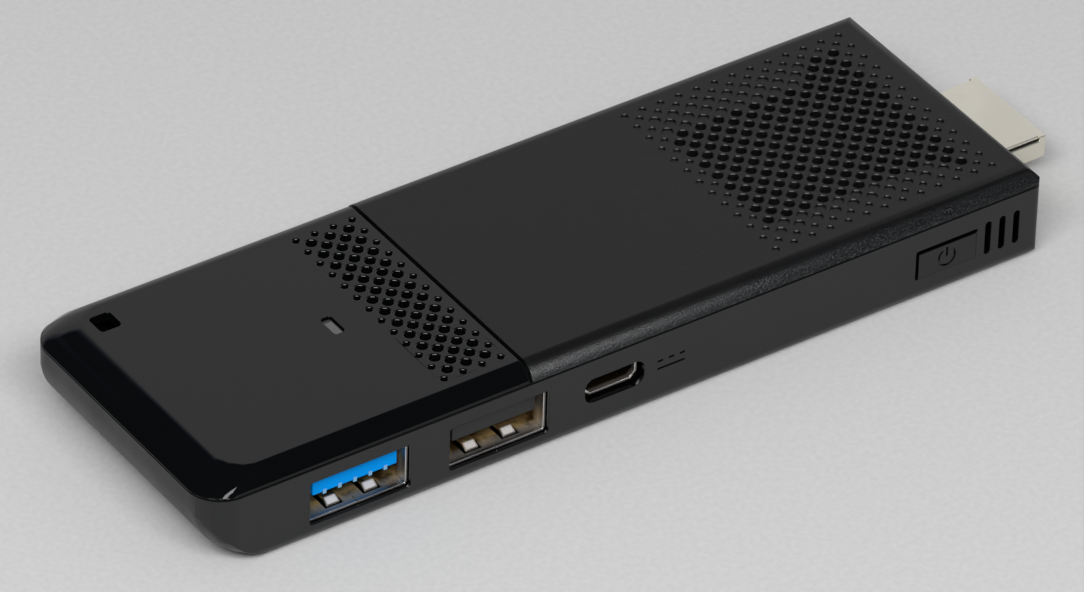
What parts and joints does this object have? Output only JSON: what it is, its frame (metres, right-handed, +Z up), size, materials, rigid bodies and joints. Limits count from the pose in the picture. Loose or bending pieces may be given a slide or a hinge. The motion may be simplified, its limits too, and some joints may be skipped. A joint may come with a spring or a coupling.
{
  "type": "hdmi stick computer",
  "caption": "Flat stick computer with an HDMI plug on one end, USB sockets, power inlet, button and vents on one side, and a fan under a vented cover.",
  "frame": {"origin": "middle of the box of case and plug, on the surface that the case rests on", "axes": "+X towards the HDMI plug, -Y towards the USB sockets and the button, +Z up through the vented cover"},
  "size_m": [0.1226, 0.038, 0.012],
  "materials": {
    "tray_plastic": "fine satin moulding",
    "matte_cover": "fine spark-grain moulding",
    "gloss_cover": "piano black gloss",
    "clear_plastic": "clear moulding",
    "white_plastic": "matte",
    "black_plastic": "matte",
    "blue_plastic": "satin moulding",
    "board": "solder mask",
    "steel": "plain",
    "nickel": "nickel plate",
    "plug_nickel": "satin warm nickel plate",
    "gold": "plated",
    "fan_sheet": "dull sheet",
    "copper": "dull copper",
    "soft_pad": "soft",
    "chip": "moulded package"
  },
  "bodies": {
    "case": {"bottom_tray": "tray_plastic", "top_cover": "matte_cover", "gloss_cover": "gloss_cover", "led_light_pipe": "clear_plastic", "led_chip": "white_plastic", "switch_body": "white_plastic", "main_board": "board", "board_screws": "steel", "usb3_shell": "nickel", "usb3_tongue": "blue_plastic", "usb3_contacts": "gold", "usb2_shell": "nickel", "usb2_tongue": "black_plastic", "usb2_contacts": "gold", "micro_usb_shell": "nickel", "micro_usb_tongue": "black_plastic", "micro_usb_contacts": "gold", "hdmi_shell": "plug_nickel", "hdmi_insert": "black_plastic", "hdmi_contacts": "gold", "fan_base": "black_plastic", "fan_lid": "fan_sheet", "fan_bearing": "gold", "fan_stator": "copper", "fan_screws": "steel", "heat_spreader": "copper", "thermal_pad": "soft_pad", "processor": "chip", "memory_chips": "chip", "storage_chip": "chip", "wifi_shield": "steel", "antennas": "white_plastic", "power_chokes": "chip", "capacitors": "white_plastic", "card_socket_base": "black_plastic", "card_socket_cover": "steel"},
    "button": {"power_button": "tray_plastic"},
    "plunger": {"switch_plunger": "black_plastic"},
    "rotor": {"fan_rotor": "black_plastic"},
    "slider": {"card_slider": "white_plastic"}
  },
  "joints": [
    {"name": "button_press", "type": "hinge", "parent": "case", "child": "button", "pos_m": [0.04235, -0.0184, 0.0049], "axis": [0, 0, -1], "range_deg": [0, 3.6], "stiffness_Nm_per_rad": 0.05},
    {"name": "plunger_slide", "type": "slide", "parent": "case", "child": "plunger", "axis": [0, 1, 0], "range_m": [0, 0.00026]},
    {"name": "fan_spin", "type": "hinge", "parent": "case", "child": "rotor", "pos_m": [0.03204, 0, 0.0082], "axis": [0, 0, 1], "continuous": true},
    {"name": "card_slide", "type": "slide", "parent": "case", "child": "slider", "axis": [0, -1, 0], "range_m": [0, 0.0012], "stiffness_N_per_m": 150}
  ],
  "couplings": [
    {"joint": "plunger_slide", "follows": "button_press", "m_per_rad": 0.0041}
  ]
}
